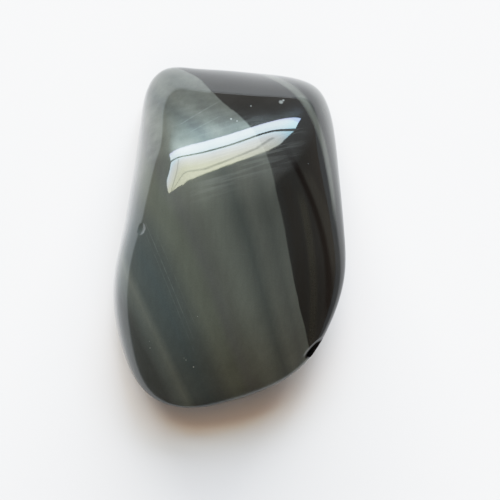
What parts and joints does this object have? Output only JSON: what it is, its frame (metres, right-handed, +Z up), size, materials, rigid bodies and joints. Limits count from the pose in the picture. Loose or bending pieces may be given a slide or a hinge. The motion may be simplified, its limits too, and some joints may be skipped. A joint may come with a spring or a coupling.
{
  "type": "drilled obsidian pebble",
  "caption": "Tumbled and polished pebble of banded obsidian, narrower at one end, with a fine cord hole drilled across its wide end; it lies on a flat spot underneath.",
  "frame": {"origin": "under the middle of the pebble's box, at the height of the flat spot that it rests on", "axes": "+Z up, out of the crown; +Y along the pebble, towards its narrow end; -Y towards the wide end with the drilled hole; +X across it"},
  "size_m": [0.0271, 0.0411, 0.0119],
  "materials": {
    "obsidian": "polished"
  },
  "bodies": {
    "root": {"obsidian_pebble": "obsidian"}
  },
  "joints": []
}
